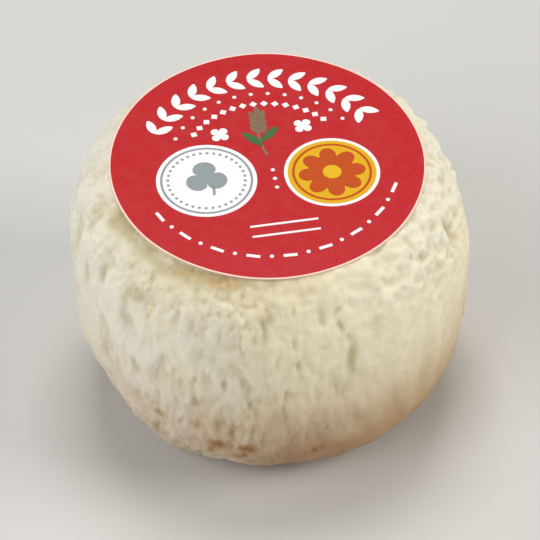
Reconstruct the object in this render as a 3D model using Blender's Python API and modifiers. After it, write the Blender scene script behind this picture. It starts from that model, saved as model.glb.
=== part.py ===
"""A crottin: a small drum of goat cheese with a wrinkled rind, and the round paper label laid on its top.

Metres, +Z up. The origin is under the middle of the cheese, on the surface that it stands on, and the label
slopes down a little towards -Y.
"""

import math

import bmesh
import bpy
from mathutils import Vector, noise

# The drum, as turned
HEIGHT = 0.0350
WIDEST_RADIUS = 0.0248
WIDEST_AT = 0.0193
BASE_RADIUS = 0.0149
TOP_RADIUS = 0.0176
LOWER_FULLNESS = 2.57
UPPER_FULLNESS = 2.81

# What draining and turning by hand did to it
LEAN = 0.0006
TOP_SLOPE = math.radians(2.5)

# Soft bulges and dents: compass angle in degrees from +X, height, depth and width
DENTS = (
    (10, 0.0165, 0.00045, 0.0050),
    (26, 0.0280, -0.00050, 0.0060),
    (168, 0.0270, 0.00055, 0.0060),
    (182, 0.0190, -0.00035, 0.0045),
    (196, 0.0140, 0.00035, 0.0045),
    (214, 0.0095, -0.00050, 0.0055),
    (236, 0.0065, 0.00045, 0.0055),
    (318, 0.0110, 0.00030, 0.0060),
    (95, 0.0200, -0.00040, 0.0080),
)

# The wrinkled rind
LUMP_SIZE = 0.0085
LUMP_DEPTH = 0.00030
WRINKLE_WIDTH = 0.0027
WRINKLE_LENGTH = 0.0056
WRINKLE_DEPTH = 0.00078
WRINKLE_SWAY = 0.55
CALM_EDGE = 0.0022

# How finely the drum is drawn
SEGMENTS = 132
RINGS = 36
PROFILE_SAMPLES = 400

# The label
LABEL_RADIUS = 0.0195
LABEL_THICKNESS = 0.00025
LABEL_GAP = 0.0003
LABEL_SEGMENTS = 96


def smooth_step(value):
    """0 below 0, 1 above 1, and a smooth rise between."""
    t = min(max(value, 0.0), 1.0)
    return t * t * (3.0 - 2.0 * t)


def drum_radius(z):
    """The radius of the turned drum at height z."""
    if z < WIDEST_AT:
        share, inner, fullness = 1.0 - z / WIDEST_AT, BASE_RADIUS, LOWER_FULLNESS
    else:
        share, inner, fullness = (z - WIDEST_AT) / (HEIGHT - WIDEST_AT), TOP_RADIUS, UPPER_FULLNESS
    return inner + (WIDEST_RADIUS - inner) * math.sqrt(max(0.0, 1.0 - share**fullness))


def drum_profile():
    """Points down the drum's side, evenly spaced along it, from the edge of its top to the edge of its base."""
    turns = [math.pi * i / PROFILE_SAMPLES for i in range(PROFILE_SAMPLES + 1)]
    heights = [HEIGHT * (0.5 + 0.5 * math.cos(turn)) for turn in turns]
    fine = [Vector((drum_radius(z), 0.0, z)) for z in heights]
    run = [0.0]
    for before, after in zip(fine, fine[1:]):
        run.append(run[-1] + (after - before).length)
    points = []
    k = 0
    for ring in range(RINGS + 1):
        wanted = run[-1] * ring / RINGS
        while k < len(run) - 2 and run[k + 1] < wanted:
            k += 1
        share = (wanted - run[k]) / (run[k + 1] - run[k])
        points.append(fine[k].lerp(fine[k + 1], share))
    return points


def calm(point):
    """How much relief a point carries: none at the edges of the flat top and the flat base, all of it between."""
    return smooth_step(point.z / CALM_EDGE) * smooth_step((HEIGHT - point.z) / CALM_EDGE)


def dents(point):
    """The named bulges and dents, as a distance out of the surface."""
    total = 0.0
    for angle, height, depth, width in DENTS:
        turn = math.radians(angle)
        radius = drum_radius(height)
        centre = Vector((radius * math.cos(turn), radius * math.sin(turn), height))
        total += depth * math.exp(-((point - centre).length / width) ** 2)
    return total


def lumps(point):
    """The unevenness of the drained curd, as a distance out of the surface."""
    return LUMP_DEPTH * noise.noise(point / LUMP_SIZE)


def wrinkles(point):
    """Rounded ridges parted by narrow creases, mostly upright, as a distance out of the surface."""
    place = Vector((point.x / WRINKLE_WIDTH, point.y / WRINKLE_WIDTH, point.z / WRINKLE_LENGTH))
    place += WRINKLE_SWAY * noise.noise_vector(0.8 * place)
    return WRINKLE_DEPTH * (abs(noise.noise(place)) - 0.25)


def pressed(point, normal):
    """Where a point of the turned drum ends up on the real cheese."""
    moved = point + normal * calm(point) * (dents(point) + lumps(point) + wrinkles(point))
    moved.x -= LEAN * (point.z / HEIGHT - 0.5)
    moved.z += math.tan(TOP_SLOPE) * moved.y * smooth_step(point.z / HEIGHT)
    return moved


def plain_material(name, colour, roughness):
    """A Principled material of one colour."""
    material = bpy.data.materials.new(name)
    material.use_nodes = True
    shader = material.node_tree.nodes["Principled BSDF"]
    shader.inputs["Base Color"].default_value = (*colour, 1.0)
    shader.inputs["Roughness"].default_value = roughness
    shader.inputs["Metallic"].default_value = 0.0
    return material


def turned_drum():
    """The drum's side as an open turned mesh."""
    profile = bpy.data.meshes.new("drum_profile")
    points = drum_profile()
    profile.from_pydata(points, [(i, i + 1) for i in range(len(points) - 1)], [])
    turning = bpy.data.objects.new("drum_turning", profile)
    bpy.context.scene.collection.objects.link(turning)
    screw = turning.modifiers.new("Screw", "SCREW")
    screw.steps = SEGMENTS
    screw.render_steps = SEGMENTS
    screw.use_merge_vertices = True
    screw.merge_threshold = 0.00001
    graph = bpy.context.evaluated_depsgraph_get()
    mesh = bpy.data.meshes.new_from_object(turning.evaluated_get(graph))
    bpy.data.objects.remove(turning)
    bpy.data.meshes.remove(profile)
    return mesh


def cheese_body(collection):
    """The cheese: the turned drum, pressed out of shape, with its top and base closed flat."""
    mesh = turned_drum()
    mesh.name = "cheese_body"
    shape = bmesh.new()
    shape.from_mesh(mesh)
    shape.normal_update()
    places = [pressed(vert.co, vert.normal) for vert in shape.verts]
    for vert, place in zip(shape.verts, places):
        vert.co = place
    bmesh.ops.holes_fill(shape, edges=shape.edges, sides=0)
    bmesh.ops.recalc_face_normals(shape, faces=shape.faces)
    shape.to_mesh(mesh)
    shape.free()
    mesh.shade_smooth()
    mesh.set_sharp_from_angle(angle=math.radians(50))
    mesh.materials.append(plain_material("white_rind", (0.74, 0.68, 0.50), 0.75))
    body = bpy.data.objects.new("cheese_body", mesh)
    collection.objects.link(body)
    return body


def paper_label(collection):
    """The round paper label, which lies on the sloping top."""
    lift = LABEL_GAP + LABEL_THICKNESS / 2.0
    up = Vector((0.0, -math.sin(TOP_SLOPE), math.cos(TOP_SLOPE)))
    place = Vector((-LEAN / 2.0, 0.0, HEIGHT)) + lift * up
    bpy.ops.mesh.primitive_cylinder_add(
        vertices=LABEL_SEGMENTS,
        radius=LABEL_RADIUS,
        depth=LABEL_THICKNESS,
        location=place,
        rotation=(TOP_SLOPE, 0.0, 0.0),
    )
    label = bpy.context.object
    label.name = "paper_label"
    label.data.name = "paper_label"
    label.data.shade_smooth()
    label.data.set_sharp_from_angle(angle=math.radians(40))
    label.data.materials.append(plain_material("printed_paper", (0.57, 0.035, 0.045), 0.55))
    for home in list(label.users_collection):
        home.objects.unlink(label)
    collection.objects.link(label)
    return label


def centre_over_origin(body, others):
    """Slides all the pieces so that the cheese's outline is centred on the origin."""
    xs = [vert.co.x for vert in body.data.vertices]
    ys = [vert.co.y for vert in body.data.vertices]
    slide = Vector((-(min(xs) + max(xs)) / 2.0, -(min(ys) + max(ys)) / 2.0, 0.0))
    for piece in (body, *others):
        piece.location += slide


def main():
    for old in list(bpy.data.objects):
        bpy.data.objects.remove(old)
    collection = bpy.data.collections.new("crottin")
    bpy.context.scene.collection.children.link(collection)
    body = cheese_body(collection)
    label = paper_label(collection)
    centre_over_origin(body, [label])


main()
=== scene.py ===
"""The looks of a crottin: the wrinkled rind of a small drum of goat cheese, and the printed paper on it.

Metres, +Z up, in the place of the solids. The rind starts as a sphere wrapped onto the cheese's solid, and
ridges, pits and creases are then worked into it. The label is paper cut round, with a thin film for each ink.
"""

import math

import bpy
import numpy as np
from mathutils import Matrix, Vector


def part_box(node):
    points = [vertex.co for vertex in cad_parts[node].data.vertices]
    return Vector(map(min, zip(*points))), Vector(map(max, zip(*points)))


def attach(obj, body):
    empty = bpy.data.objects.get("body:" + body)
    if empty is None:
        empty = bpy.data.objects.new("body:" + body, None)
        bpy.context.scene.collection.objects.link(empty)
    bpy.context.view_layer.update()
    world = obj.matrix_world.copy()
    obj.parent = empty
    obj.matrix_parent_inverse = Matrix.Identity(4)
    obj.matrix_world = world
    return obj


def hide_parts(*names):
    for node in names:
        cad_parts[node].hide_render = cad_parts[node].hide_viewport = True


MM = 0.001
FULL_TURN = 2.0 * math.pi
SMOOTH_ANGLE = math.radians(40.0)

# The camera
CAMERA_RISE = math.radians(44.0)
CAMERA_DISTANCE = 0.542
LENS = 287.0
SENSOR = 36.0
AIM_HEIGHT = 0.0170

# The soft lights: name, place, size, watts and colour
LIGHTS = (
    ("top_light", (0.0, 0.40, 1.15), 0.55, 6.9, (1.0, 0.99, 0.97)),
    ("front_left_light", (-0.65, -0.65, 0.75), 0.80, 5.7, (0.98, 0.99, 1.0)),
    ("right_light", (1.0, -0.15, 0.60), 0.55, 7.2, (1.0, 0.985, 0.95)),
    ("left_light", (-1.0, 0.10, 0.50), 0.60, 2.2, (0.98, 0.99, 1.0)),
)
LIGHTS_AIM = (0.0, 0.0, 0.02)
ROOM_COLOUR = (1.0, 0.99, 0.97, 1.0)
ROOM_STRENGTH = 0.12
FLOOR_COLOUR = (0.64, 0.63, 0.61, 1.0)
FLOOR_SIZE = 6.0

# The rind's mesh: rings from the middle of the top to the middle of the base, and points round each
AROUND = 560
RINGS = 176
TOP_RINGS = 9
BASE_RINGS = 9
SIDE_STARTS = 47.0
SIDE_ENDS = -52.0
START_RADIUS = 0.045
MERGE_WITHIN = 0.000005
POLE_RADIUS = 0.0001
TURNS = FULL_TURN * np.arange(AROUND) / AROUND

# The rind's relief, from wide to narrow: each layer's width, how many times taller it is, the strength of
# noise that it starts at, and its depth
SEED = 1
FORM_BLUR = 0.0020
FOLD_BLUR = 0.0003
FOLD_SHARE = 0.25
LUMP_SIZE = 0.0050
LUMP_STRETCH = 1.6
LUMP_DEPTH = 0.000055
KNOB_SIZE = 0.0024
KNOB_DEPTH = 0.00010
WAVE_SIZE = 0.0017
WAVE_STRETCH = 4.6
WAVE_STARTS = -0.6
WAVE_DEPTH = 0.00010
NICK_SIZE = 0.0020
NICK_STRETCH = 3.0
NICK_STARTS = 0.9
NICK_DEPTH = 0.00007
STROKE_SIZE = 0.0011
STROKE_STRETCH = 3.5
STROKE_STARTS = -0.8
STROKE_DEPTH = 0.00010
BUMP_SIZE = 0.0012
BUMP_STRETCH = 1.2
BUMP_STARTS = -0.8
BUMP_DEPTH = 0.00010
BASE_CALM = 0.0016

# How softly a layer starts, the share of its width that its noise is blurred by, how far round it sways, and
# how unevenly it is worked into the rind
SOFT_START = 0.16
NOISE_BLUR = 0.19
SWAY = 0.00016
SWAY_SIZE = 0.0060
UNEVEN = 0.15
UNEVEN_SIZE = 0.010
UNEVEN_LIMITS = (0.2, 2.0)

# The rind's areas: where the soft edge of each starts and how wide it is. The first four go by the cosine of
# the compass angle, and the rest by the height from the middle of the cheese.
LEFT = (-0.1, 0.9)
RIGHT = (0.0, 0.9)
SOFT = (-0.25, 0.9)
FAR_RIGHT = (0.45, 0.55)
UPPER = (0.0010, 0.0135)
LOWER = (-0.0110, 0.0140)
FOOT = (-0.0182, 0.0120)

# How strong each layer is over the areas: sums that are multiplied. Each number in a sum counts where all the
# areas in its key are, and a minus before an area means outside it.
UPRIGHT_SHARES = (
    {"": 0.54, "front": 0.42, "right": -0.55},
    {"": 1.0, "upper": -0.60},
    {"": 1.0, "lower": -0.30},
)
FINE_SHARES = (
    {"": 1.08, "soft": -0.60, "lower": 0.60, "lower soft": -0.96, "upper -left -right": -0.30},
    {"": 1.0, "right": 0.15, "far_right upper": 0.8},
)
FINE_DEPTH_SHARES = ({"": 1.0, "far_right upper": 0.5},)
LUMP_SHARES = ({"": 1.0, "left": 1.4, "right": 1.5},)
KNOB_SHARES = ({"": 0.15, "upper": 0.22, "right": 0.25, "right upper": 0.25, "far_right upper": 0.5},)
NICK_SHARES = ({"": 1.0, "soft": -0.4, "left": -0.3},)
NICK_LYING = 0.3
WAVE_SHARES = ({"": 1.0, "left": -0.6},)
ALL_SHARES = ({"": 1.0, "foot -left": -0.5, "right -upper -foot": -0.25},)

# How white the bloom is, and how much each layer adds to it, in the same way: hollows that lose it get
# painted shade
BLOOM_SHARES = ({"": 0.91, "left": 0.05, "right": 0.06, "lower left": 0.09},)
LUMP_BLOOM_SHARES = ({"": 0.03, "left": 0.20},)
KNOB_BLOOM_SHARES = ({"upper": 0.06, "right": 0.08},)
NICK_BLOOM_AND_SHADE_SHARES = ({"": -0.13}, {"": 1.0, "soft": -0.3, "left": -0.25}, {"": 1.0, "upper": -0.5})
WAVE_BLOOM_AND_SHADE_SHARES = ({"": -0.10, "left": 0.05},)
FINE_BLOOM_AND_SHADE_SHARES = ({"": -1300.0, "left": 130.0},)

# A dent low on the left: compass angle, height, depth and width
DENT = (203.0, 0.0085, 0.00050, 0.0034)

# The creases: the radius that their angles are measured at, how much a metre of depth darkens them with a
# stain and painted shade, and how they wander, change in depth and end
CREASE_REACH = 0.0236
CREASE_STAIN_AND_SHADE = 950.0
CREASE_WANDER = 0.00020
CREASE_WANDER_LENGTHS = (0.0009, 0.0004)
CREASE_UNEVEN = 0.15
CREASE_UNEVEN_LENGTH = 0.0007
CREASE_END = 0.25
CREASE_TAPER = 3.4

# Creases that stand out: the compass angle and height of both ends, the width, and the depth
CREASES = (
    (268.3, 0.0305, 268.4, 0.0268, 0.00044, 0.00032),
    (293.0, 0.0307, 290.5, 0.0295, 0.00040, 0.00032),
    (290.5, 0.0295, 292.3, 0.0273, 0.00042, 0.00040),
    (292.3, 0.0273, 295.0, 0.0263, 0.00040, 0.00036),
    (294.6, 0.0276, 294.0, 0.0194, 0.00075, 0.00018),
    (277.5, 0.0289, 277.5, 0.0258, 0.00036, 0.00020),
    (286.4, 0.0311, 285.7, 0.0286, 0.00042, 0.00028),
    (278.5, 0.0253, 278.6, 0.0229, 0.00036, 0.00028),
    (251.5, 0.0320, 259.5, 0.0315, 0.00026, 0.00020),
    (259.5, 0.0315, 265.5, 0.0318, 0.00026, 0.00018),
    (258.5, 0.0331, 268.0, 0.0334, 0.00024, 0.00014),
    (268.0, 0.0334, 277.0, 0.0335, 0.00024, 0.00012),
    (208.6, 0.0299, 212.6, 0.0266, 0.00070, 0.00034),
    (222.2, 0.0284, 223.5, 0.0250, 0.00065, 0.00026),
    (228.6, 0.0324, 231.1, 0.0302, 0.00060, 0.00022),
    (240.7, 0.0305, 242.1, 0.0267, 0.00050, 0.00020),
    (245.2, 0.0324, 247.7, 0.0287, 0.00050, 0.00022),
    (263.8, 0.0180, 264.0, 0.0165, 0.00030, 0.00030),
    (264.0, 0.0165, 262.9, 0.0147, 0.00030, 0.00026),
    (281.6, 0.0078, 286.3, 0.0086, 0.00036, 0.00034),
    (248.4, 0.0214, 247.0, 0.0128, 0.00050, 0.00022),
    (343.9, 0.0313, 345.5, 0.0272, 0.00060, 0.00030),
    (330.0, 0.0297, 334.0, 0.0277, 0.00044, 0.00022),
    (20.0, 0.0290, 16.0, 0.0235, 0.00045, 0.00032),
    (64.0, 0.0255, 66.0, 0.0180, 0.00040, 0.00034),
    (109.0, 0.0295, 104.0, 0.0240, 0.00040, 0.00030),
    (139.0, 0.0215, 141.0, 0.0150, 0.00045, 0.00034),
    (171.0, 0.0290, 174.0, 0.0240, 0.00045, 0.00030),
)

# Where the rind meets the label: how far in its relief is pressed flat and how far out it rises to the paper,
# where the shoulder ends below, how much closer it lies on one side, and the gap that stays under the paper
PRESS_WIDTH = 0.0022
MEETS_BEYOND = 0.0042
SHOULDER_DEPTH = 0.010
SNUG = 0.00018
SNUG_TOWARDS = math.radians(300.0)
PAPER_CLEARANCE = 0.00002
PAPER_OVERLAP = 0.0002

# The groove that the label's edge pressed into the shoulder, from its first compass angle to its last
GROOVE_FROM = 192.0
GROOVE_TO = 264.0
GROOVE_FADES_IN = 18.0
GROOVE_FADES_OUT = 14.0
GROOVE_OUT = 0.0009
GROOVE_WIDTH = 0.00088
GROOVE_DEPTH = 0.00045
GROOVE_CALM = 0.8
GROOVE_WANDER = 0.0003
GROOVE_WANDER_TURNS = (7.0, 2.3)
GROOVE_BROKEN = 0.15
GROOVE_BROKEN_TURNS = (5.1, 3.3)
# The groove's darkening is a stain with painted shade under the label's left edge; the tan further on is a
# stain.
GROOVE_STAIN_AND_SHADE = 0.28
GROOVE_TAN = 0.06
GROOVE_TAN_FROM = 222.0
GROOVE_TAN_FADES_IN = 22.0
GROOVE_TAN_SHALLOWER = 0.4

# Darker marks: compass angle, height, width round, width up, strength
MARKS = (
    # This first mark is painted shade on the front of the shoulder below the label's edge.
    (255.5, 0.0342, 0.0098, 0.0018, 0.24),
    (206.5, 0.0337, 0.0030, 0.0012, 0.17),
    (204.0, 0.0338, 0.0009, 0.0010, 0.26),
    (212.0, 0.0339, 0.0013, 0.0009, 0.13),
    (224.8, 0.0292, 0.0022, 0.0013, 0.26),
    (228.0, 0.0295, 0.0009, 0.0007, 0.16),
    (253.8, 0.0090, 0.0013, 0.0010, 1.00),
    (263.4, 0.0089, 0.0011, 0.0010, 0.94),
    (235.5, 0.0117, 0.0009, 0.0006, 0.40),
    (248.5, 0.0207, 0.0004, 0.0009, 0.25),
    (248.5, 0.0166, 0.0005, 0.0010, 0.30),
    (247.8, 0.0120, 0.0009, 0.0008, 0.35),
    (258.9, 0.0132, 0.0008, 0.0008, 0.30),
    (260.3, 0.0067, 0.0011, 0.0006, 0.55),
    (251.4, 0.0073, 0.0008, 0.0006, 0.45),
    (284.5, 0.0079, 0.0016, 0.0006, 0.40),
    (286.7, 0.0128, 0.0003, 0.0006, 0.35),
    (269.7, 0.0307, 0.0008, 0.0009, 0.34),
    (277.4, 0.0311, 0.0003, 0.0006, 0.32),
    (286.8, 0.0299, 0.0004, 0.0006, 0.20),
    (294.2, 0.0236, 0.0008, 0.0026, 0.24),
    (249.8, 0.0335, 0.0016, 0.0006, 0.10),
    (254.6, 0.0332, 0.0015, 0.0005, 0.18),
    (344.0, 0.0293, 0.0008, 0.0016, 0.24),
    (282.8, 0.0328, 0.0030, 0.0009, 0.10),
    (304.1, 0.0319, 0.0028, 0.0012, 0.12),
    (257.1, 0.0270, 0.0014, 0.0014, 0.20),
    # A faint painted shade below the label's front edge.
    (272.0, 0.0338, 0.0055, 0.0014, 0.06),
    (251.0, 0.0058, 0.0030, 0.0012, 0.12),
    (313.7, 0.0304, 0.0018, 0.0012, 0.10),
    (35.0, 0.0105, 0.0008, 0.0007, 0.60),
    (120.0, 0.0085, 0.0007, 0.0008, 0.70),
    (150.0, 0.0240, 0.0005, 0.0012, 0.35),
)

# Places where the bloom is thicker: compass angle, height, width round, width up, strength
BLOOMS = (
    (238.5, 0.0206, 0.0012, 0.0018, 0.34),
    (275.1, 0.0171, 0.0014, 0.0013, 0.34),
    (206.0, 0.0190, 0.0020, 0.0030, 0.60),
    (306.6, 0.0160, 0.0022, 0.0016, 0.20),
    (288.0, 0.0165, 0.0022, 0.0012, 0.16),
    (236.6, 0.0288, 0.0014, 0.0022, 0.22),
    (230.8, 0.0152, 0.0016, 0.0016, 0.48),
    (229.6, 0.0106, 0.0022, 0.0016, 0.40),
    (269.4, 0.0206, 0.0014, 0.0012, 0.22),
    (271.5, 0.0171, 0.0012, 0.0012, 0.14),
    (294.4, 0.0155, 0.0018, 0.0014, 0.26),
    (306.0, 0.0185, 0.0014, 0.0014, 0.20),
    (321.4, 0.0249, 0.0026, 0.0026, 0.24),
    (212.8, 0.0206, 0.0014, 0.0014, 0.24),
    (315.0, 0.0208, 0.0018, 0.0016, 0.12),
)

# How wide the patches of the rind's colour and grain are. The upright ones come from noise whose height is
# squashed by this much, which makes them taller.
BROAD_SIZE = 9.0 * MM
PATCH_SIZE = 2.4 * MM
CURD_SIZE = 0.9 * MM
WEAVE_SIZE = 0.75 * MM
GRAIN_SIZE = 0.30 * MM
UPRIGHT_SQUASH = 0.36

# How rough the rind is, and how high its grain stands
ROUGH = 0.70
ROUGH_GRAIN = 0.16
SMOOTHER_STAIN = 0.1
GRAIN_BUMP = 0.25 * MM
GRAIN_BUMP_STRENGTH = 0.5
GRAIN_SHARE = 0.3

# Where each tint of the rind starts and where it is whole, in metres to the right, away from the front or up,
# and how far patches make its edge ragged
TINT_RIGHT = (0.0, 0.0225)
TINT_NOT_LEFT = (0.0017, 0.0187)
TINT_NOT_WEST = (-0.004, 0.036)
TINT_EAST = (0.0144, 0.0252)
TINT_BEHIND = (-0.012, 0.006)
TINT_BACK = (-0.006, 0.020)
TINT_CREST_SHADE = (0.0265, 0.0325)
TINT_CREAM_AND_SHADE = (0.0275, 0.0345)
TINT_OLIVE = (0.024, 0.030)
TINT_NOT_FOOT = (0.00686, 0.0245)
LEFT_RAGGED = 0.0408
WEST_RAGGED = 0.040
HEIGHT_RAGGED = 0.006
FOOT_RAGGED = 0.0049

# How strongly each tint covers, and how much less in some places
# The crest's greyer bloom is painted shade.
CREST_SHADE_COVER = 0.8
# The cream band is a creamier tone with painted shade below the label's front edge.
CREAM_AND_SHADE_COVER = 0.44
CREAM_LESS_LEFT = 0.18
CREAM_LESS_BEHIND = 0.2
CREAM_LESS_RIGHT = 0.40
OLIVE_COVER = 0.6
MARK_COVER = 0.85
MARK_WHOLE = 0.45
MARK_RAGGED = 1.2
# The foot's tan is partly the rind's own colour and partly painted shade and a painted warm reflection,
# strongest at the front.
FOOT_TAN_AND_SHADE_COVER = 0.77
FOOT_LESS_WEST = 0.52
FOOT_LESS_BACK = 0.24
FOOT_LESS_EAST = 0.05

# How strongly the patches show in the bloom, and how much of it makes the rind white
BLOOM_PATCH = 0.5
BLOOM_GRAIN = 0.25
BLOOM_WEAVE = 1.05
BLOOM_WEAVE_LESS_RIGHT = 0.5
BLOOM_WHOLE = 1.05

# The label
PAPER_SIDES = 180
PAPER_THICKNESS = 0.00016
PAPER_MARGIN = 0.00020
PAPER_RINGS = (0.4, 0.5, 0.6, 0.7, 0.9, 1.2, 1.6, 2.0, 2.4, 2.8, 3.0)
INK = 0.00002
INK_FILM = INK * 1.5
INK_CLOUD = 1.4 * MM
FIBRE_SIZE = 0.16 * MM
FIBRE_SHARE = 0.75
FIBRE_BUMP = 0.02 * MM
FIBRE_BUMP_STRENGTH = 0.15
INK_ROUGH = 0.46
INK_ROUGH_FIBRE = 0.12
BARE_PAPER = 0.9
PRINT_TURN = math.radians(10.0)

# How the paper cockles, and how its rim droops, unevenly round it
COCKLE = 0.000035
COCKLE_SIZES = (0.0031, 0.0037, 0.0052)
COCKLE_SLANT = 0.6
DROOP_STARTS = 0.0155
DROOP = 0.00026
DROOP_MEAN = 1.15
DROOP_LEAN = 0.55
DROOP_LEAN_TURN = 2.53
DROOP_WAVE = 0.22
DROOP_WAVES = 7.0
DROOP_WAVE_TURN = 5.85

# The print, in millimetres from the label's middle: x to the right, y away from the front
GARLAND_RADIUS = 14.7
GARLAND_FROM = 151.0
GARLAND_TO = 29.0
GARLAND_PAIRS = 13
GARLAND_LEAF_TURNS = (-48.0, -132.0)
GARLAND_DOT_INSIDE = 2.7
DIAMOND_RADIUS = 10.2
DIAMOND_FROM = 143.0
DIAMOND_TO = 37.0
DIAMOND_COUNT = 15
BLOSSOM_PLACES = ((-5.0, 5.6), (5.4, 5.4))
DASH_RADIUS = 16.1
DASH_FROM = 206.0
DASH_TO = 334.0
DASH_COUNT = 17
DASH_BACK = 3.0
LINE_START = -4.0
LINE_HEIGHTS = (-10.7, -12.4)
DOT_COLUMN = 0.4
DOT_HEIGHTS = (-4.6, -3.1, -1.6)
WHITE_ROUNDEL = (-7.9, -2.0, 6.2)
YELLOW_ROUNDEL = (7.5, -3.2, 5.9)
ROUNDEL_SIDES = 72
ROUNDEL_RINGS = (0.8, 1.0, 1.0, 1.2)
YELLOW_INSIDE = 0.45
FLOWER_INSIDE = 1.75
FLOWER_RING_INSIDE = 1.0
GREY_RING_INSIDE = 0.5
GREY_DOTS_INSIDE = 1.45
SPRIG_PLACE = (0.2, 5.4)
SEED_ROWS = 4
SEED_STEP = 0.85
SEED_TURNS = (54.0, 126.0)


def paint(red, green, blue):
    """A linear colour from the 0 to 255 values that a screen shows."""
    values = [value / 255.0 for value in (red, green, blue)]
    linear = [value / 12.92 if value <= 0.04045 else ((value + 0.055) / 1.055) ** 2.4 for value in values]
    return (*linear, 1.0)


# A mark's colour, from faint to strong
STAIN_STOPS = ((0.3, paint(193, 179, 137)), (0.5, paint(204, 173, 118)), (0.9, paint(130, 100, 70)))

# The skin in the creases with painted shade, the bloom, and the bloom on the shoulder greyed by painted
# shade: on the right, and on the left
SKIN_AND_SHADE_PAINTS = (paint(219, 204, 164), paint(216, 206, 178))
BLOOM_PAINTS = (paint(247, 238, 209), paint(246, 240, 222))
CREST_SHADE_PAINTS = (paint(236, 232, 215), paint(229, 227, 214))

# The cream of the shoulder with painted shade below the label's front edge, the olive of the marks on the
# left, and the foot's tan with painted shade and a painted warm reflection, on the left and on the right
CREAM_AND_SHADE_PAINT = paint(233, 219, 180)
OLIVE_PAINT = paint(190, 184, 140)
FOOT_TAN_AND_SHADE_PAINTS = (paint(155, 92, 48), paint(164, 114, 42))


class Wire:
    """An output socket of a material. Sums on wires add Math nodes, and make() adds any other node."""

    def __init__(self, tree, socket=None):
        self.tree = tree
        self.socket = socket

    def make(self, kind, settings=None, inputs=None, output=0):
        """A new node: its settings, or a ramp's stops, come first, and then its inputs' values or wires."""
        node = self.tree.nodes.new("ShaderNode" + kind)
        for name, value in (settings or {}).items():
            if name == "stops":
                ramp = node.color_ramp.elements
                while len(ramp) < len(value):
                    ramp.new(1.0)
                for stop, (place, colour) in zip(ramp, value):
                    stop.position = place
                    stop.color = colour
            else:
                setattr(node, name, value)
        for name, value in (inputs or {}).items():
            if isinstance(value, Wire):
                self.tree.links.new(value.socket, node.inputs[name])
            else:
                node.inputs[name].default_value = value
        return Wire(self.tree, node.outputs[output])

    def sum(self, operation, first, second):
        return self.make("Math", {"operation": operation}, {0: first, 1: second})

    def __add__(self, other):
        return self.sum("ADD", self, other)

    def __radd__(self, other):
        return self.sum("ADD", other, self)

    def __sub__(self, other):
        return self.sum("SUBTRACT", self, other)

    def __rsub__(self, other):
        return self.sum("SUBTRACT", other, self)

    def __mul__(self, other):
        return self.sum("MULTIPLY", self, other)

    def __rmul__(self, other):
        return self.sum("MULTIPLY", other, self)

    def swing(self, strength):
        """Noise on this wire, as a swing of this strength to both sides of zero."""
        return (self - 0.5) * strength

    def clear(self, low, high):
        """0 below low, 1 above high, and a smooth rise between."""
        span = {"From Min": low, "From Max": high, "Value": self}
        return self.make("MapRange", {"interpolation_type": "SMOOTHSTEP"}, span)

    def mixed(self, first, second):
        """The first colour where this wire is 0, the second where it is 1."""
        return self.make("Mix", {"data_type": "RGBA"}, {0: self, 6: first, 7: second}, 2)


def new_material(name, **steady):
    """A Principled material, with the values that are the same all over set on its own sockets."""
    material = bpy.data.materials.new(name)
    material.use_nodes = True
    shader = material.node_tree.nodes["Principled BSDF"]
    for socket, value in steady.items():
        shader.inputs[socket.replace("_", " ")].default_value = value
    return material, shader, Wire(material.node_tree)


def feed(material, shader, **wires):
    """Joins wires to the shader's sockets."""
    for socket, wire in wires.items():
        material.node_tree.links.new(wire.socket, shader.inputs[socket.replace("_", " ")])


def speckle(wire, place, size, detail=2.0, roughness=0.5):
    """Soft noise from 0 to 1 whose patches are about this wide."""
    values = {"Vector": place, "Scale": 1.0 / size, "Detail": detail, "Roughness": roughness}
    return wire.make("TexNoise", None, values)


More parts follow.
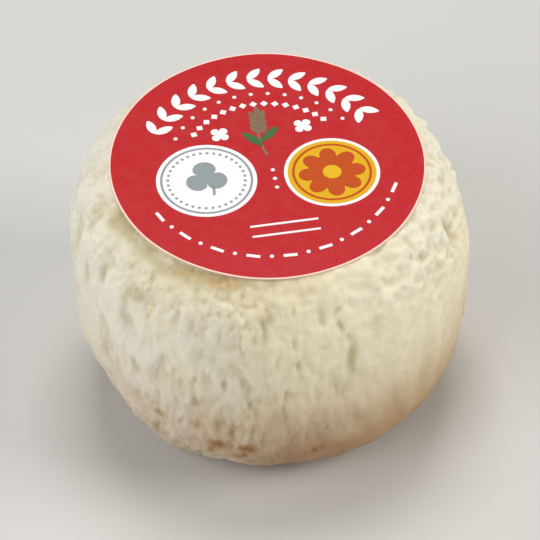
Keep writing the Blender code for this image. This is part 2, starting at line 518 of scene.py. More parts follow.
def rind_material():
    """A dry white bloom on the ridges, yellower skin in the creases, tan low down and in the marks, and
    painted shade in the creases, on the shoulder and low down, with a painted warm reflection low down.
    """
    material, shader, wire = new_material(
        "goat_cheese_rind",
        Subsurface_Weight=0.08,
        Subsurface_Radius=(1.0, 0.75, 0.45),
        Subsurface_Scale=0.0008,
        Specular_IOR_Level=0.30,
    )
    place = wire.make("TexCoord", output="Object")
    ridge = wire.make("Attribute", {"attribute_name": "ridge"}, output="Fac")
    stain = wire.make("Attribute", {"attribute_name": "stain"}, output="Fac")
    across, away, height = (wire.make("SeparateXYZ", None, {0: place}, axis) for axis in "XYZ")
    broad = speckle(wire, place, BROAD_SIZE)
    grain = speckle(wire, place, GRAIN_SIZE, detail=3.0, roughness=0.6)
    upright = wire.make("Mapping", None, {"Vector": place, "Scale": (1.0, 1.0, UPRIGHT_SQUASH)})
    patch = speckle(wire, upright, PATCH_SIZE, detail=3.0)
    curd = speckle(wire, place, CURD_SIZE, detail=3.0, roughness=0.6)
    weave = speckle(wire, upright, WEAVE_SIZE, detail=3.0, roughness=0.6)

    right = across.clear(*TINT_RIGHT)
    left = 1.0 - (across + broad * LEFT_RAGGED).clear(*TINT_NOT_LEFT)
    west = 1.0 - (across + broad * WEST_RAGGED).clear(*TINT_NOT_WEST)
    east = across.clear(*TINT_EAST)
    behind = away.clear(*TINT_BEHIND)
    back = away.clear(*TINT_BACK)
    ragged_height = height + patch.swing(HEIGHT_RAGGED)
    weave = weave + (curd - weave) * right

    weave_swing = weave.swing(BLOOM_WEAVE - right * BLOOM_WEAVE_LESS_RIGHT)
    bloom = ridge + patch.swing(BLOOM_PATCH) + grain.swing(BLOOM_GRAIN) + weave_swing
    # A greyer bloom high on the right shoulder and at the back-left: painted shade.
    crest_shade = ragged_height.clear(*TINT_CREST_SHADE) * (right + left * behind)
    powder = (crest_shade * CREST_SHADE_COVER).mixed(left.mixed(*BLOOM_PAINTS), left.mixed(*CREST_SHADE_PAINTS))
    # Where the bloom is thin the darker skin shows: partly the rind's own skin, partly painted shade in the
    # hollows.
    colour = bloom.clear(0.0, BLOOM_WHOLE).mixed(left.mixed(*SKIN_AND_SHADE_PAINTS), powder)
    # A creamier, darker band on the shoulder, strongest at the front: a creamier tone with painted shade
    # below the label's edge.
    cream_and_shade_cover = CREAM_AND_SHADE_COVER - left * (CREAM_LESS_LEFT + behind * CREAM_LESS_BEHIND)
    cream_and_shade_cover = cream_and_shade_cover - right * CREAM_LESS_RIGHT
    colour = (ragged_height.clear(*TINT_CREAM_AND_SHADE) * cream_and_shade_cover).mixed(colour, CREAM_AND_SHADE_PAINT)

    ragged_stain_and_shade = stain * (1.0 + patch.swing(MARK_RAGGED) + weave.swing(MARK_RAGGED))
    tone = stain.make("ValToRGB", {"stops": STAIN_STOPS}, {"Fac": ragged_stain_and_shade})
    tone = (left * height.clear(*TINT_OLIVE) * OLIVE_COVER).mixed(tone, OLIVE_PAINT)
    colour = (ragged_stain_and_shade.clear(0.0, MARK_WHOLE) * MARK_COVER).mixed(colour, tone)

    # Darker and warmer towards the base, most at the front: partly the rind's own tan, partly painted shade
    # and a painted warm reflection from below.
    foot = 1.0 - (height - patch.swing(FOOT_RAGGED)).clear(*TINT_NOT_FOOT)
    foot_tan_and_shade_cover = FOOT_TAN_AND_SHADE_COVER - west * FOOT_LESS_WEST - back * FOOT_LESS_BACK - east * FOOT_LESS_EAST
    colour = (foot * foot_tan_and_shade_cover).mixed(colour, right.mixed(*FOOT_TAN_AND_SHADE_PAINTS))

    rough = ROUGH + grain * ROUGH_GRAIN - stain * SMOOTHER_STAIN
    relief = {"Strength": GRAIN_BUMP_STRENGTH, "Distance": GRAIN_BUMP, "Height": grain * GRAIN_SHARE + weave}
    bump = wire.make("Bump", None, relief)
    feed(material, shader, Base_Color=colour, Roughness=rough, Normal=bump)
    return material


def ink_material(name, red, green, blue, wear=0.05):
    """Matt printing ink: its colour, thinned a little by the paper's fibres."""
    material, shader, wire = new_material(name, Specular_IOR_Level=0.14)
    place = wire.make("TexCoord", output="Object")
    cloud = speckle(wire, place, INK_CLOUD)
    fibre = speckle(wire, place, FIBRE_SIZE, detail=3.0, roughness=0.6)
    full = paint(red, green, blue)
    pale = (*[value + (BARE_PAPER - value) * wear for value in full[:3]], 1.0)
    deep = (*[value * (1.0 - wear) for value in full[:3]], 1.0)
    colour = (fibre * FIBRE_SHARE + cloud * (1.0 - FIBRE_SHARE)).clear(0.30, 0.70).mixed(deep, pale)
    bump = wire.make("Bump", None, {"Strength": FIBRE_BUMP_STRENGTH, "Distance": FIBRE_BUMP, "Height": fibre})
    feed(material, shader, Base_Color=colour, Roughness=INK_ROUGH + fibre * INK_ROUGH_FIBRE, Normal=bump)
    return material


def points_of(piece):
    """A mesh's points as rows of x, y, z."""
    flat = np.empty(len(piece.data.vertices) * 3)
    piece.data.vertices.foreach_get("co", flat)
    return flat.reshape(-1, 3)


def move_points(piece, points):
    """Moves a mesh's points to these rows of x, y, z."""
    piece.data.vertices.foreach_set("co", points.ravel())
    piece.data.update()


def smooth_step(values):
    """0 below 0, 1 above 1, and a smooth rise between."""
    share = np.clip(values, 0.0, 1.0)
    return share * share * (3.0 - 2.0 * share)


def polar(points):
    """How far out each point lies, and its compass angle in radians."""
    return np.hypot(points[:, 0], points[:, 1]), np.arctan2(points[:, 1], points[:, 0])


def turn_from(turn, start):
    """The way round from one angle to each of the others, to either side of it."""
    return (turn - start + math.pi) % FULL_TURN - math.pi


def drop_selection():
    """Nothing is selected."""
    for other in bpy.context.selected_objects:
        other.select_set(False)


def only(piece):
    """Selects this piece alone and makes it the active one."""
    drop_selection()
    piece.select_set(True)
    bpy.context.view_layer.objects.active = piece


def add_modifier(piece, kind, **settings):
    """Adds a modifier with these settings and applies it."""
    only(piece)
    modifier = piece.modifiers.new(kind.title(), kind)
    for name, value in settings.items():
        setattr(modifier, name, value)
    bpy.ops.object.modifier_apply(modifier=modifier.name)


def settle_in_place(piece):
    """The piece's place, turn and size go into its mesh, so that its object is at the origin."""
    only(piece)
    bpy.ops.object.transform_apply(location=True, rotation=True, scale=True)


def smooth(piece):
    """Shades a piece smooth, apart from its sharp edges."""
    piece.data.shade_smooth()
    only(piece)
    bpy.ops.object.shade_smooth_by_angle(angle=SMOOTH_ANGLE)


class Skin:
    """The rind as rings and meridians, and how values are smoothed over it."""

    def __init__(self, grid):
        outline = np.column_stack([np.hypot(grid[..., 0], grid[..., 1]).mean(1), grid[..., 2].mean(1)])
        self.radius = np.maximum(outline[:, 0], POLE_RADIUS)
        steps = np.hypot(*np.diff(outline, axis=0).T)
        self.run = np.concatenate([[0.0], np.cumsum(steps)])
        self.cell = self.radius * np.gradient(self.run)

    def blurred(self, values, across, along):
        """Values blurred by these widths in metres, across the meridians and along them."""
        turns = np.fft.rfftfreq(AROUND, 1.0 / AROUND)
        spread = turns[None, :] * across / self.radius[:, None]
        values = np.fft.irfft(np.fft.rfft(values, axis=1) * np.exp(-0.5 * spread**2), n=AROUND, axis=1)
        weights = np.exp(-0.5 * ((self.run[:, None] - self.run[None, :]) / along) ** 2)
        return weights @ values / weights.sum(1)[:, None]

    def cloud(self, draw, size, stretch=1.0):
        """Smooth noise of unit strength whose patches are about this wide, and this many times as tall."""
        values = draw.normal(size=(RINGS + 1, AROUND)) / np.sqrt(self.cell)[:, None]
        near = NOISE_BLUR * size
        far = 2.0 * near
        values = self.blurred(values, near, near * stretch) - self.blurred(values, far, far * stretch)
        side = slice(TOP_RINGS, RINGS - BASE_RINGS)
        return values / values[side].std()

    def swayed(self, values, sway):
        """Values carried round the cheese by this distance in metres."""
        rows = [
            np.interp(TURNS + shift / radius, TURNS, row, period=FULL_TURN)
            for row, shift, radius in zip(values, sway, self.radius)
        ]
        return np.array(rows)


def label_frame():
    """The label's own axes, with its origin in the middle of its upper face and its z out of it."""
    points = points_of(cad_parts["paper_label"])
    middle = (points.max(0) + points.min(0)) / 2.0
    out = np.linalg.svd(points - points.mean(0), full_matrices=False)[2][2]
    out = Vector(out * math.copysign(1.0, out[2]))
    right = Vector((1.0, 0.0, 0.0))
    away = out.cross(right).normalized()
    thickness = np.ptp((points - middle) @ np.array(out))
    place = Vector(middle) + out * (thickness / 2.0)
    matrix = Matrix((right, away, out)).transposed().to_4x4()
    return Matrix.Translation(place) @ matrix


def on_label(points):
    """The points in the label's own axes."""
    own = label_frame().inverted()
    return points @ np.array(own.to_3x3()).T + np.array(own.translation)


def label_radius():
    """The label's radius, from its solid."""
    low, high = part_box("paper_label")
    return (high.x - low.x) / 2.0


def paper_rise(points):
    """How far the paper stands above its flat place: it gives a little everywhere and droops at its edge."""
    x, y = points[:, 0], points[:, 1]
    out, turn = polar(points)
    width, length, slant = COCKLE_SIZES
    cockle = np.sin(x / width + 0.7) * np.cos(y / length - 0.4)
    cockle += COCKLE_SLANT * np.sin((x + y) / slant + 2.0)
    uneven = DROOP_MEAN - DROOP_LEAN * np.cos(turn - DROOP_LEAN_TURN)
    uneven += DROOP_WAVE * np.sin(DROOP_WAVES * turn + DROOP_WAVE_TURN)
    edge = smooth_step((out - DROOP_STARTS) / (label_radius() - DROOP_STARTS))
    return COCKLE * (cockle - 1.0 - COCKLE_SLANT) - DROOP * uneven * edge


def rolled_sphere():
    """A flat grid rolled round and drawn in at both ends: a sphere of even rings about the origin."""
    drop_selection()
    bpy.ops.mesh.primitive_grid_add(x_subdivisions=AROUND, y_subdivisions=RINGS, size=2.0)
    sphere = bpy.context.object
    points = points_of(sphere)
    turn = math.pi * points[:, 0]
    rise = math.pi / 2.0 * points[:, 1]
    round_places = np.column_stack([np.cos(rise) * np.cos(turn), np.cos(rise) * np.sin(turn), np.sin(rise)])
    move_points(sphere, START_RADIUS * round_places)
    bpy.ops.object.mode_set(mode="EDIT")
    bpy.ops.mesh.select_all(action="SELECT")
    bpy.ops.mesh.remove_doubles(threshold=MERGE_WITHIN)
    bpy.ops.mesh.normals_make_consistent(inside=False)
    bpy.ops.object.mode_set(mode="OBJECT")
    return sphere


def sphere_spots(points):
    """Which ring and which meridian each point of the starting sphere is on."""
    out, turn = polar(points)
    rise = np.arctan2(points[:, 2], out)
    ring = np.rint((0.5 - rise / math.pi) * RINGS).astype(int)
    meridian = np.rint(turn / FULL_TURN * AROUND).astype(int) % AROUND
    return ring, meridian


def on_grid(values, ring, meridian):
    """The sphere's points as a table of rings and meridians. A pole fills its whole ring."""
    grid = np.zeros((RINGS + 1, AROUND, 3))
    grid[ring, meridian] = values
    for pole in (0, RINGS):
        grid[pole] = values[ring == pole][0]
    return grid


def normals_of(piece):
    """The mesh's normals at its points."""
    flat = np.empty(len(piece.data.vertices) * 3, np.float32)
    piece.data.vertex_normals.foreach_get("vector", flat)
    return flat.reshape(-1, 3).astype(float)


def wrapped_sphere(middle):
    """A sphere whose rings are close together down the cheese's side, wrapped onto the cheese's solid."""
    rind = rolled_sphere()
    rind.name = "cheese_rind"
    rind.data.name = "cheese_rind"
    ring, meridian = sphere_spots(points_of(rind))
    stops = (0, TOP_RINGS, RINGS - BASE_RINGS, RINGS)
    bearing = np.radians(np.interp(np.arange(RINGS + 1), stops, (90.0, SIDE_STARTS, SIDE_ENDS, -90.0)))
    turn = TURNS[meridian]
    level = np.cos(bearing[ring])
    outward = np.column_stack([level * np.cos(turn), level * np.sin(turn), np.sin(bearing[ring])])
    move_points(rind, middle + START_RADIUS * outward)
    add_modifier(
        rind,
        "SHRINKWRAP",
        target=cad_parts["cheese_body"],
        wrap_method="PROJECT",
        use_negative_direction=True,
        use_positive_direction=False,
    )
    return rind, ring, meridian, outward


def label_groove(flat):
    """How deep in the label's groove a point is, and how strongly it is stained there with painted shade,
    both from 0 to 1.
    """
    out, turn = polar(flat)
    turn = np.degrees(turn) % 360.0
    slow, quick = GROOVE_WANDER_TURNS
    wander = GROOVE_WANDER * (np.sin(turn / slow) + 0.5 * np.sin(turn / quick + 1.0))
    across = (out - label_radius() - GROOVE_OUT - wander) / GROOVE_WIDTH
    ends = smooth_step((turn - GROOVE_FROM) / GROOVE_FADES_IN)
    ends *= smooth_step((GROOVE_TO - turn) / GROOVE_FADES_OUT)
    slow, quick = GROOVE_BROKEN_TURNS
    broken = 1.0 - GROOVE_BROKEN + GROOVE_BROKEN * np.sin(turn / slow + 0.6) * np.sin(turn / quick)
    share = np.exp(-(across**2)) * ends * broken
    tan = smooth_step((turn - GROOVE_TAN_FROM) / GROOVE_TAN_FADES_IN)
    return share * (1.0 - GROOVE_TAN_SHALLOWER * tan), share * (GROOVE_STAIN_AND_SHADE + GROOVE_TAN * tan)


def spots_share(points, spots):
    """How strongly each point lies in these spots."""
    total = np.zeros(len(points))
    out, turn = polar(points)
    for angle, height, width, tall, strength in spots:
        apart = turn_from(turn, math.radians(angle))
        total += strength * np.exp(-((apart * out / width) ** 2) - ((points[:, 2] - height) / tall) ** 2)
    return total


def keep_number(piece, name, values):
    """Stores a number for each point, which the material reads by this name."""
    layer = piece.data.attributes.new(name, "FLOAT", "POINT")
    layer.data.foreach_set("value", np.clip(values, 0.0, 1.0).astype(np.float32))


def rising(values, start):
    """How far values rise past this one, with a soft start."""
    past = values - start
    return (past + np.sqrt(past**2 + SOFT_START)) / 2.0


def creases_depth(points):
    """How deep each point lies in the creases that stand out, in metres."""
    out, turn = polar(points)
    slow, quick = CREASE_WANDER_LENGTHS
    deepest = np.zeros(len(points))
    for start_angle, start_height, end_angle, end_height, width, depth in CREASES:
        half = math.radians(end_angle - start_angle) / 2.0
        span = np.array([2.0 * half * CREASE_REACH, end_height - start_height])
        length = math.hypot(*span)
        across = turn_from(turn, math.radians((start_angle + end_angle) / 2.0)) * out + half * CREASE_REACH
        up = points[:, 2] - start_height
        along = (across * span[0] + up * span[1]) / length
        share = np.clip(along / length, 0.0, 1.0)
        wander = np.sin(along / slow + start_angle) + 0.5 * np.sin(along / quick + end_angle)
        aside = (across * span[1] - up * span[0]) / length + CREASE_WANDER * wander
        off = np.hypot(aside, along - share * length)
        uneven = np.sin(along / CREASE_UNEVEN_LENGTH + 3.0 * start_angle)
        taper = np.clip(CREASE_END + CREASE_TAPER * share * (1.0 - share), 0.0, 1.0)
        sunk = depth * (1.0 - CREASE_UNEVEN + CREASE_UNEVEN * uneven) * taper
        deepest = np.maximum(deepest, sunk * np.exp(-((off / width) ** 2)))
    return deepest


def rind_areas(level):
    """How far each spot of the rind lies in each of its areas, from 0 to 1, and outside it under a minus."""
    rightward = np.cos(TURNS)[None, :]
    level = level[:, None]
    areas = {
        "left": smooth_step((-rightward - LEFT[0]) / LEFT[1]),
        "right": smooth_step((rightward - RIGHT[0]) / RIGHT[1]),
        "soft": smooth_step((rightward - SOFT[0]) / SOFT[1]),
        "far_right": smooth_step((rightward - FAR_RIGHT[0]) / FAR_RIGHT[1]),
        "upper": smooth_step((level - UPPER[0]) / UPPER[1]),
        "lower": 1.0 - smooth_step((level - LOWER[0]) / LOWER[1]),
        "foot": 1.0 - smooth_step((level - FOOT[0]) / FOOT[1]),
    }
    outside = {"-" + name: 1.0 - share for name, share in areas.items()}
    return {"front": -np.sin(TURNS)[None, :], **areas, **outside}


def over_areas(areas, sums):
    """These sums multiplied, where each number in a sum counts in the areas that its key names."""
    whole = 1.0
    for numbers in sums:
        parts = [number * math.prod(areas[name] for name in key.split()) for key, number in numbers.items()]
        whole = whole * sum(parts)
    return whole


def wrinkled(skin, level, folds):
    """How far each spot of the rind stands proud, and how near the top of a ridge it is, from 0 to 1."""
    draw = np.random.default_rng(SEED)
    sway = SWAY * skin.cloud(draw, SWAY_SIZE)
    lumps = skin.cloud(draw, LUMP_SIZE, LUMP_STRETCH)
    knobs = skin.cloud(draw, KNOB_SIZE)
    waves = rising(-skin.swayed(skin.cloud(draw, WAVE_SIZE, WAVE_STRETCH), sway), WAVE_STARTS)
    nicks = rising(skin.swayed(skin.cloud(draw, NICK_SIZE, NICK_STRETCH), sway), NICK_STARTS)
    strokes = rising(skin.swayed(skin.cloud(draw, STROKE_SIZE, STROKE_STRETCH), sway), STROKE_STARTS)
    bumps = rising(-skin.cloud(draw, BUMP_SIZE, BUMP_STRETCH), BUMP_STARTS)
    worked = np.clip(1.0 + UNEVEN * skin.cloud(draw, UNEVEN_SIZE), *UNEVEN_LIMITS)
    areas = rind_areas(level)
    upright = over_areas(areas, UPRIGHT_SHARES)
    lying = NICK_LYING + (1.0 - NICK_LYING) * upright
    waves *= upright
    fine = STROKE_DEPTH * strokes * upright + BUMP_DEPTH * bumps * (1.0 - upright)
    fine *= over_areas(areas, FINE_SHARES) * worked

    relief = LUMP_DEPTH * lumps * over_areas(areas, LUMP_SHARES)
    relief += KNOB_DEPTH * knobs * over_areas(areas, KNOB_SHARES)
    relief -= NICK_DEPTH * nicks * worked * lying * over_areas(areas, NICK_SHARES)
    relief -= fine * over_areas(areas, FINE_DEPTH_SHARES)
    relief -= WAVE_DEPTH * waves * over_areas(areas, WAVE_SHARES)
    relief += FOLD_SHARE * skin.blurred(folds, FOLD_BLUR, FOLD_BLUR)
    relief *= over_areas(areas, ALL_SHARES)

    # The bloom mask: hollows get less of it, which paints shade in them along with the skin's own colour.
    tops = over_areas(areas, BLOOM_SHARES)
    tops = tops + lumps * over_areas(areas, LUMP_BLOOM_SHARES) + knobs * over_areas(areas, KNOB_BLOOM_SHARES)
    tops += nicks * over_areas(areas, NICK_BLOOM_AND_SHADE_SHARES) + waves * over_areas(areas, WAVE_BLOOM_AND_SHADE_SHARES)
    tops += fine * over_areas(areas, FINE_BLOOM_AND_SHADE_SHARES)
    return relief, tops


def raised_to_paper(points, flat):
    """The rind raised near the label to meet the paper, and kept under it. Flat is its place on the label."""
    out, turn = polar(flat)
    upward = np.array(label_frame().to_3x3().col[2])
    meets = smooth_step((label_radius() + MEETS_BEYOND - out) / MEETS_BEYOND) * (flat[:, 2] > -SHOULDER_DEPTH)
    gap = max(-flat[:, 2].max() - PAPER_THICKNESS, 0.0)
    snug = SNUG * (1.0 + np.cos(turn - SNUG_TOWARDS))
    points = points + ((gap + snug) * meets)[:, None] * upward
    flat = on_label(points)
    above = np.maximum(flat[:, 2] - paper_rise(flat) + PAPER_THICKNESS + PAPER_CLEARANCE, 0.0)
    above[out >= label_radius() + PAPER_OVERLAP] = 0.0
    return points - above[:, None] * upward


def cheese_rind():
    """The cheese with its rind: wrapped, wrinkled, and pressed flat under the label and where it stands."""
    low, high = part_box("cheese_body")
    middle = np.array((low + high) / 2.0)
    rind, ring, meridian, outward = wrapped_sphere(middle)
    grid = on_grid(points_of(rind) - middle, ring, meridian)
    skin = Skin(grid)
    reach = np.linalg.norm(grid, axis=2)
    form = skin.blurred(reach, FORM_BLUR, FORM_BLUR)
    relief, tops = wrinkled(skin, grid[..., 2].mean(1), reach - form)

    move_points(rind, middle + form[ring, meridian][:, None] * outward)
    points = points_of(rind)
    flat = on_label(points)
    free = smooth_step((polar(flat)[0] - label_radius() + PRESS_WIDTH) / PRESS_WIDTH)
    free[flat[:, 2] < -SHOULDER_DEPTH] = 1.0
    calm = free * smooth_step(points[:, 2] / BASE_CALM)
    groove, groove_stain_and_shade = label_groove(flat) * (flat[:, 2] > -SHOULDER_DEPTH)
    creases = creases_depth(points)
    angle, rise, depth, width = DENT
    sunk = GROOVE_DEPTH * groove + creases + depth * spots_share(points, ((angle, rise, width, width, 1.0),))
    height = relief[ring, meridian] * calm * (1.0 - GROOVE_CALM * groove) - sunk
    points += normals_of(rind) * height[:, None]
    points = np.clip(raised_to_paper(points, flat), low, high)
    move_points(rind, points)
    rind.data.shade_smooth()

    keep_number(rind, "ridge", tops[ring, meridian] + spots_share(points, BLOOMS))
    # Stains, with painted shade on the front shoulder, in the groove and in the creases.
    keep_number(rind, "stain", spots_share(points, MARKS) + groove_stain_and_shade + CREASE_STAIN_AND_SHADE * creases)
    rind.data.materials.append(rind_material())
    return rind


def disc_shape(radius, sides=48, rings=()):
    """A flat disc, with rings inset by these steps."""
    drop_selection()
    bpy.ops.mesh.primitive_circle_add(vertices=sides, radius=radius * MM, fill_type="NGON")
    disc = bpy.context.object
    bpy.ops.object.mode_set(mode="EDIT")
    for step in rings:
        bpy.ops.mesh.inset(thickness=step * MM, depth=0.0)
    bpy.ops.object.mode_set(mode="OBJECT")
    return disc


def ring_shape(radius, width, sides=72):
    """A flat ring of this outer radius and width."""
    ring = disc_shape(radius, sides, (width,))
    bpy.ops.object.mode_set(mode="EDIT")
    bpy.ops.mesh.delete(type="FACE")
    bpy.ops.object.mode_set(mode="OBJECT")
    return ring


def leaf_shape(length, width, sides=14):
    """A flat leaf that points along x from its foot at the origin."""
    leaf = disc_shape(1.0, sides)
    points = points_of(leaf) / MM
    along = points[:, 0]
    taper = 1.0 - np.where(along > 0.0, 0.45, 0.25) * along**2
    side = points[:, 1] * taper * width / 2.0
    move_points(leaf, np.column_stack([(along + 1.0) / 2.0 * length, side, 0.0 * along]) * MM)
    return leaf


def flower_shape(radius, petals, depth, sides=120):
    """A flat flower: a fan of faces whose outline swells once for each petal."""
    drop_selection()
    bpy.ops.mesh.primitive_circle_add(vertices=sides, radius=radius * MM, fill_type="TRIFAN")
    flower = bpy.context.object
    points = points_of(flower)
    turn = np.arctan2(points[:, 1], points[:, 0])
    swell = 1.0 - depth * (1.0 - np.abs(np.cos(petals * turn / 2.0)) ** 0.55)
    move_points(flower, points * swell[:, None])
    return flower


def bar_shape(length, width, cuts=0, bow=0.0):
    """A flat bar along x with its foot at the origin, which bows sideways by this much."""
    drop_selection()
    bpy.ops.mesh.primitive_grid_add(x_subdivisions=cuts + 1, y_subdivisions=1, size=2.0)
    bar = bpy.context.object
    points = points_of(bar)
    along = (points[:, 0] + 1.0) / 2.0
    side = points[:, 1] * width / 2.0 + bow * 4.0 * along * (1.0 - along)
    move_points(bar, np.column_stack([along * length, side, 0.0 * along]) * MM)
    return bar


def stamped(shape, x, y, turn=0.0):
    """A copy of a flat shape, turned by this many degrees and moved to x, y in millimetres."""
    copy = shape.copy()
    copy.data = shape.data.copy()
    bpy.context.scene.collection.objects.link(copy)
    copy.location = (x * MM, y * MM, 0.0)
    copy.rotation_euler = (0.0, 0.0, math.radians(turn))
    return copy


def stamped_round(shape, radius, angle, turn=0.0, middle=(0.0, 0.0)):
    """A copy at this radius and angle round a middle, turned from the outward direction by turn."""
    x = middle[0] + radius * math.cos(math.radians(angle))
    y = middle[1] + radius * math.sin(math.radians(angle))
    return stamped(shape, x, y, angle + turn)


def joined(shapes, masters):
    """The shapes as one piece in the print's own plane. The shapes that they were copied from go."""
    for master in masters:
        bpy.data.objects.remove(master)
    drop_selection()
    for shape in shapes:
        shape.select_set(True)
    bpy.context.view_layer.objects.active = shapes[0]
    bpy.ops.object.join()
    piece = bpy.context.object
    settle_in_place(piece)
    return piece


def bent_to_paper(piece, height=0.0):
    """Lays a flat piece on the label at this height, bent as the paper is."""
    points = points_of(piece)
    points[:, 2] += paper_rise(points) + height
    move_points(piece, points)
    piece.data.transform(label_frame())
    smooth(piece)


def laid_on_paper(piece, name, level, material):
    """Gives flat ink its thickness, lays it on the paper at this level, and paints it."""
    piece.name = name
    piece.data.name = name
    add_modifier(piece, "TRIANGULATE")
    add_modifier(piece, "SOLIDIFY", thickness=INK_FILM, offset=-1.0)
    piece.data.transform(Matrix.Rotation(PRINT_TURN, 4, "Z"))
    bent_to_paper(piece, level * INK)
    piece.data.materials.clear()
    piece.data.materials.append(material)
    return piece


def label_paper():
    """The round paper: white, with red ink on its face up to a narrow margin."""
    paper = disc_shape(label_radius() / MM, PAPER_SIDES, (PAPER_MARGIN / MM, *PAPER_RINGS))
    paper.name = "label_paper"
    paper.data.name = "label_paper"
    paper.data.materials.append(ink_material("bare_paper", 253, 217, 203, 0.03))
    paper.data.materials.append(ink_material("red_ink", 191, 23, 31, 0.03))
    inked = label_radius() - 0.9 * PAPER_MARGIN
    for face in paper.data.polygons:
        corners = [paper.data.vertices[corner].co.length for corner in face.vertices]
        face.material_index = 1 if max(corners) < inked else 0
    add_modifier(
        paper,
        "SOLIDIFY",
        thickness=PAPER_THICKNESS,
        offset=-1.0,
        material_offset=-1,
        material_offset_rim=-1,
    )
    bent_to_paper(paper)
    return paper


def garland(leaf, dot):
    """Paired leaves along an arc, with a dot between each pair."""
    shapes = []
    step = (GARLAND_TO - GARLAND_FROM) / (GARLAND_PAIRS - 1)
    for pair in range(GARLAND_PAIRS):
        angle = GARLAND_FROM + pair * step
        shapes += [stamped_round(leaf, GARLAND_RADIUS, angle, turn) for turn in GARLAND_LEAF_TURNS]
        shapes.append(stamped_round(dot, GARLAND_RADIUS - GARLAND_DOT_INSIDE, angle))
    return shapes


def white_print():
    """The white ink: the garland, the row of dashes, the grounds of both roundels and the small lines."""
    leaf = leaf_shape(length=2.5, width=1.15)
    dot = disc_shape(radius=0.26, sides=12)
    dash = bar_shape(length=1.7, width=0.42)
    line = bar_shape(length=8.4, width=0.32)
    diamond = disc_shape(radius=0.5, sides=4)
    blossom = flower_shape(radius=1.25, petals=4, depth=0.55, sides=48)
    shapes = garland(leaf, dot)
    for row in range(DASH_COUNT):
        angle = DASH_FROM + (DASH_TO - DASH_FROM) * row / (DASH_COUNT - 1)
        if row % 2:
            shapes.append(stamped_round(dot, DASH_RADIUS, angle))
        else:
            shapes.append(stamped_round(dash, DASH_RADIUS, angle - DASH_BACK, 90.0))
    for x, y, radius in (WHITE_ROUNDEL, YELLOW_ROUNDEL):
        ground = disc_shape(radius, ROUNDEL_SIDES, ROUNDEL_RINGS)
        shapes.append(stamped(ground, x, y))
        bpy.data.objects.remove(ground)
    for row in range(DIAMOND_COUNT):
        angle = DIAMOND_FROM + (DIAMOND_TO - DIAMOND_FROM) * row / (DIAMOND_COUNT - 1)
        shapes.append(stamped_round(diamond, DIAMOND_RADIUS, angle))
    shapes += [stamped(line, LINE_START, height) for height in LINE_HEIGHTS]
    shapes += [stamped(dot, DOT_COLUMN, height) for height in DOT_HEIGHTS]
    shapes += [stamped(blossom, x, y, 45.0) for x, y in BLOSSOM_PLACES]
    return joined(shapes, (leaf, dot, dash, line, diamond, blossom))


def yellow_print():
    """The yellow ground of the flower."""
    x, y, radius = YELLOW_ROUNDEL
    ground = disc_shape(radius - YELLOW_INSIDE, ROUNDEL_SIDES, ROUNDEL_RINGS)
    return joined([stamped(ground, x, y)], (ground,))


def orange_print():
    """The orange-red flower, and the thin ring round it."""
    x, y, radius = YELLOW_ROUNDEL
    flower = flower_shape(radius - FLOWER_INSIDE, petals=8, depth=0.42)
    ring = ring_shape(radius - FLOWER_RING_INSIDE, width=0.3)
    return joined([stamped(flower, x, y), stamped(ring, x, y)], (flower, ring))


def eye_print():
    """The flower's yellow eye."""
    eye = disc_shape(radius=1.15, sides=32)
    return joined([stamped(eye, *YELLOW_ROUNDEL[:2])], (eye,))


def grey_print():
    """The grey ring and dots, and the clover leaf inside them."""
    x, y, radius = WHITE_ROUNDEL
    ring = ring_shape(radius - GREY_RING_INSIDE, width=0.28)
    dot = disc_shape(radius=0.2, sides=10)
    clover = flower_shape(radius=2.7, petals=3, depth=0.62)
    stalk = bar_shape(length=2.9, width=0.34, cuts=5, bow=0.35)
    shapes = [stamped(ring, x, y), stamped(clover, x, y + 0.5, 90.0), stamped(stalk, x, y + 0.2, -80.0)]
    dots_radius = radius - GREY_DOTS_INSIDE
    shapes += [stamped_round(dot, dots_radius, angle, middle=(x, y)) for angle in range(0, 360, 10)]
    return joined(shapes, (ring, dot, clover, stalk))


def brown_print():
    """The brown stalk and ear of the sprig."""
    x, y = SPRIG_PLACE
    stalk = bar_shape(length=7.2, width=0.34, cuts=8, bow=0.5)
    seed = leaf_shape(length=1.7, width=0.8)
    shapes = [stamped(stalk, x, y - 4.4, 90.0), stamped(seed, x, y + 2.7, 90.0)]
    for row in range(SEED_ROWS):
        for turn in SEED_TURNS:
            shapes.append(stamped(seed, x - 0.25 + 0.06 * row, y - 0.4 + SEED_STEP * row, turn))
    return joined(shapes, (stalk, seed))


def green_print():
    """The sprig's green leaves."""
    x, y = SPRIG_PLACE
    leaf = leaf_shape(length=3.4, width=1.15)
    shapes = [stamped(leaf, x - 0.3, y - 2.6, 128.0), stamped(leaf, x - 0.3, y - 1.9, 44.0)]
    return joined(shapes, (leaf,))


def printed_label():
    """The paper and each ink on it."""
    return [
        label_paper(),
        laid_on_paper(white_print(), "print_white", 1, ink_material("white_ink", 248, 246, 247, 0.02)),
        laid_on_paper(yellow_print(), "print_yellow", 2, ink_material("yellow_ink", 227, 176, 8, 0.02)),
        laid_on_paper(orange_print(), "print_orange", 3, ink_material("orange_ink", 195, 76, 8, 0.02)),
        laid_on_paper(eye_print(), "print_eye", 4, ink_material("eye_ink", 231, 184, 14, 0.02)),
        laid_on_paper(grey_print(), "print_grey", 2, ink_material("grey_ink", 146, 157, 161)),
        laid_on_paper(brown_print(), "print_brown", 1, ink_material("brown_ink", 132, 106, 81)),
        laid_on_paper(green_print(), "print_green", 2, ink_material("green_ink", 66, 106, 58, 0.03)),
    ]


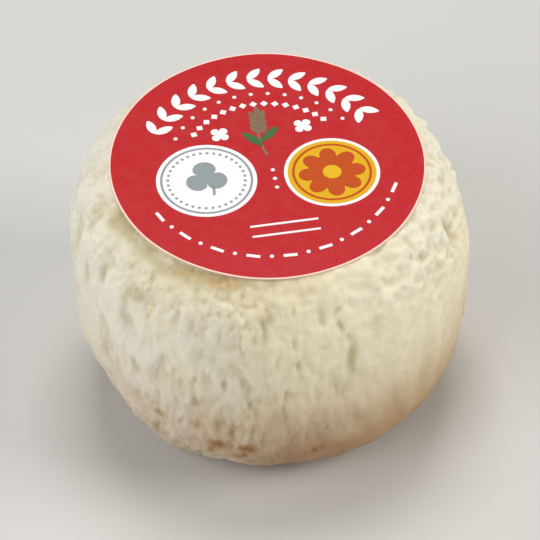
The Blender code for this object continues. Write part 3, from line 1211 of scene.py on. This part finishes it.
def add_floor():
    """A plain pale floor."""
    drop_selection()
    bpy.ops.mesh.primitive_plane_add(size=FLOOR_SIZE)
    floor = bpy.context.object
    floor.name = "floor"
    floor.data.materials.append(new_material("pale_floor", Base_Color=FLOOR_COLOUR, Roughness=0.85)[0])


def add_light(name, place, size, watts, colour):
    """A square soft light at a place, turned towards the cheese."""
    turn = (Vector(LIGHTS_AIM) - Vector(place)).to_track_quat("-Z", "Y").to_euler()
    bpy.ops.object.light_add(type="AREA", location=place, rotation=turn)
    light = bpy.context.object
    light.name = name
    light.data.size = size
    light.data.energy = watts
    light.data.color = colour


def add_studio():
    """The soft lights, and a dim pale room."""
    for light in LIGHTS:
        add_light(*light)
    world = bpy.data.worlds.new("pale_room")
    world.use_nodes = True
    bpy.context.scene.world = world
    sky = world.node_tree.nodes["Background"]
    sky.inputs["Color"].default_value = ROOM_COLOUR
    sky.inputs["Strength"].default_value = ROOM_STRENGTH


def add_camera():
    """The camera, at the photograph's viewing angle and distance."""
    aim = Vector((0.0, 0.0, AIM_HEIGHT))
    place = aim + CAMERA_DISTANCE * Vector((0.0, -math.cos(CAMERA_RISE), math.sin(CAMERA_RISE)))
    bpy.ops.object.camera_add(location=place, rotation=(math.pi / 2.0 - CAMERA_RISE, 0.0, 0.0))
    camera = bpy.context.object
    camera.data.lens = LENS
    camera.data.sensor_width = SENSOR
    bpy.context.scene.camera = camera


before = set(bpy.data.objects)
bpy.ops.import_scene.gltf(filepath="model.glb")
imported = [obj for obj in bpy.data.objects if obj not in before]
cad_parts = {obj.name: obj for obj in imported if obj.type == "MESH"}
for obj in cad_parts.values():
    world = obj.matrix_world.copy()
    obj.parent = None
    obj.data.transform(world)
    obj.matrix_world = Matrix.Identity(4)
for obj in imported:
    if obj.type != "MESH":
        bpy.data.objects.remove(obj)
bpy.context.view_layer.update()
drop_selection()
bpy.context.scene.view_settings.view_transform = "Standard"
add_camera()

rind = cheese_rind()
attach(rind, "root")
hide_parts("cheese_body")

for sheet in printed_label():
    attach(sheet, "root")
    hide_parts("paper_label")

add_floor()
add_studio()
